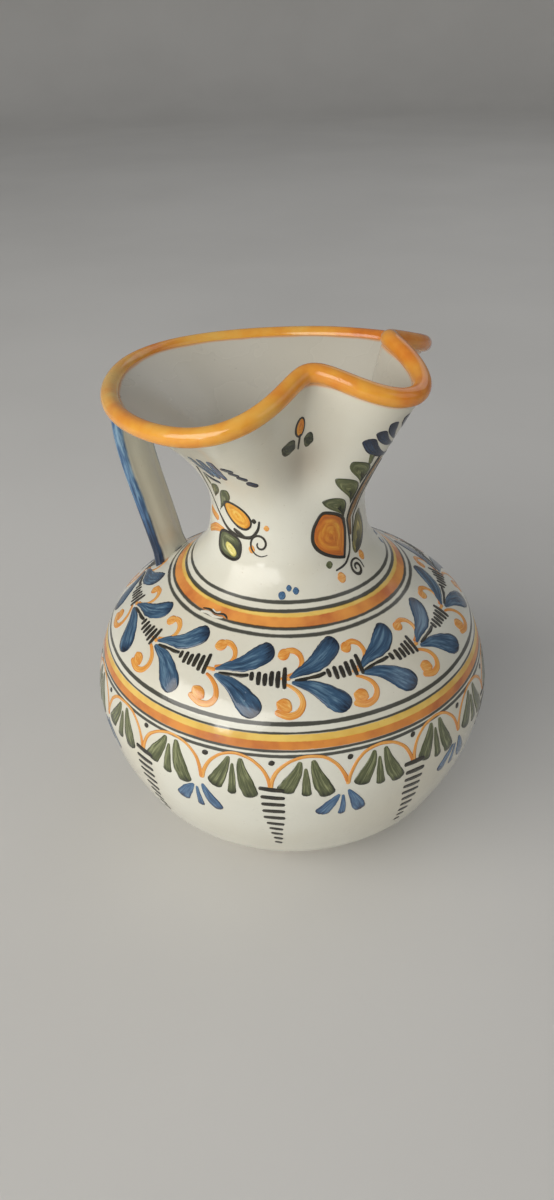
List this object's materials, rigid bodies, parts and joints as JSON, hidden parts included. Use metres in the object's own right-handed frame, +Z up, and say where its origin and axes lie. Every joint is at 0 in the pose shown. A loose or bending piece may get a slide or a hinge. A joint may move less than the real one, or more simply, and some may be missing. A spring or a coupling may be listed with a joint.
{
  "type": "ceramic pitcher",
  "caption": "Glazed earthenware pitcher: round body on a foot, narrow neck, pinched pouring mouth with a rolled rim, strap handle at the back.",
  "frame": {"origin": "centre of the foot, on the plane the jug stands on", "axes": "+Z up along the turned axis of the body; -X toward the handle, +X toward the pouring lip (the lip is turned 16 degrees toward -Y)"},
  "size_m": [0.1972, 0.1972, 0.2519],
  "materials": {
    "bare_clay": "unglazed fired clay, slightly rough",
    "body_glaze": "glossy ivory tin glaze with hand-painted bands and motifs",
    "rim_glaze": "glossy yellow-orange painted glaze",
    "handle_glaze": "glossy blue painted glaze outside, ivory inside"
  },
  "bodies": {
    "root": {"foot_ring": "bare_clay", "base": "body_glaze", "lower_body": "body_glaze", "upper_body": "body_glaze", "neck": "body_glaze", "mouth_wall": "body_glaze", "rim_roll": "rim_glaze", "handle": "handle_glaze", "handle_top_joint": "body_glaze", "handle_foot_joint": "body_glaze"}
  },
  "joints": []
}
